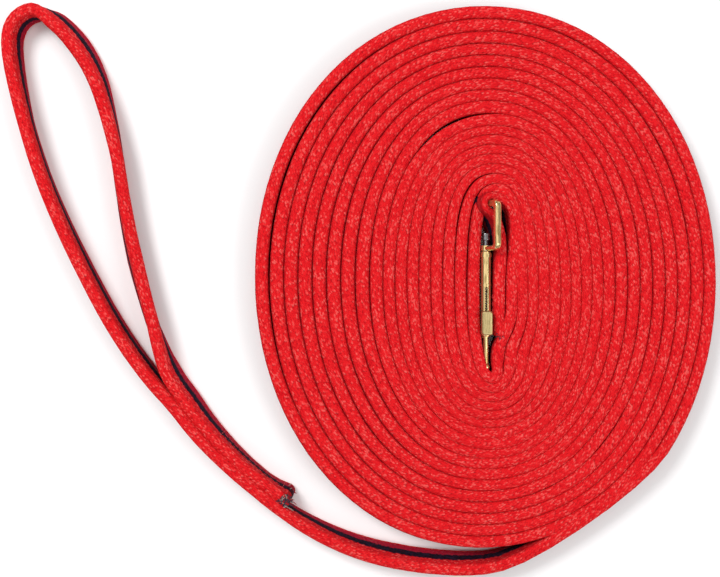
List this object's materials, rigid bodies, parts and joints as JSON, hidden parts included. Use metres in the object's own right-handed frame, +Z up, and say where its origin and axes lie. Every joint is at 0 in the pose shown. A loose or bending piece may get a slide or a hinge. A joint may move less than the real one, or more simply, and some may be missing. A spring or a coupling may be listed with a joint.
{
  "type": "lead rope",
  "caption": "Long flat two-tone cushion-web lead line, rolled on its edge, with a swivel bolt snap in the middle of the roll and a sewn hand loop.",
  "frame": {"origin": "middle of the whole object's outline seen from above, on the surface that the line lies on", "axes": "+Z up from the surface along the web's width, +X across the roll from the hand loop to the roll's far side, +Y along the roll's long axis from the hook to the eye"},
  "size_m": [0.4172, 0.3323, 0.0289],
  "materials": {
    "web": "soft woven cushion web, red edges with a navy middle stripe",
    "thread": "waxed sewing thread",
    "brass": "bright cast brass, tumbled",
    "knob_brass": "dull cast brass, worn",
    "rivet_steel": "plated steel",
    "spring_steel": "drawn spring wire"
  },
  "bodies": {
    "line": {"web_coil": "web", "web_tail": "web", "web_hand_loop": "web", "web_snap_end": "web", "hand_loop_stitches": "thread", "snap_end_stitches": "thread", "swivel_eye": "brass"},
    "snap": {"snap_body": "brass", "swivel_post": "rivet_steel", "bolt_spring": "spring_steel"},
    "bolt": {"bolt_rod": "brass", "thumb_knob": "knob_brass"}
  },
  "joints": [
    {"name": "snap_swivel", "type": "hinge", "parent": "line", "child": "snap", "pos_m": [0.074, 0.0218, 0.0148], "axis": [0, 1, 0], "range_deg": [-6, 6]},
    {"name": "bolt_slide", "type": "slide", "parent": "snap", "child": "bolt", "axis": [0, 1, 0], "range_m": [0, 0.0137], "stiffness_N_per_m": 400, "springref_m": -0.008, "deforming": ["bolt_spring"]}
  ]
}
